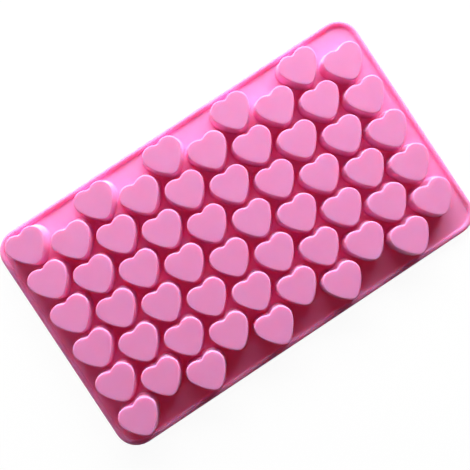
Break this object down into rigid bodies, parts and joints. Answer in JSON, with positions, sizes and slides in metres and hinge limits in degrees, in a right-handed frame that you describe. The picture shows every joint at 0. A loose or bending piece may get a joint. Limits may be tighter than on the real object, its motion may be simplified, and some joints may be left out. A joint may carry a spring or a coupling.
{
  "type": "silicone heart mould",
  "caption": "Flexible one-piece mould: a thin rectangular plate with a beaded edge and staggered rows of small drafted heart cups.",
  "frame": {"origin": "middle of the plate's flat open face, which is the underside as the part lies here", "axes": "+X along the length, +Z out of the closed floors of the cups, so the hollows open towards -Z; the tips of the hearts point to -Y. The part lies cups upwards, as pictured, and is turned over for filling."},
  "size_m": [0.186, 0.11, 0.01],
  "materials": {
    "silicone": "satin, slightly translucent pink silicone"
  },
  "bodies": {
    "root": {"mould": "silicone"}
  },
  "joints": []
}
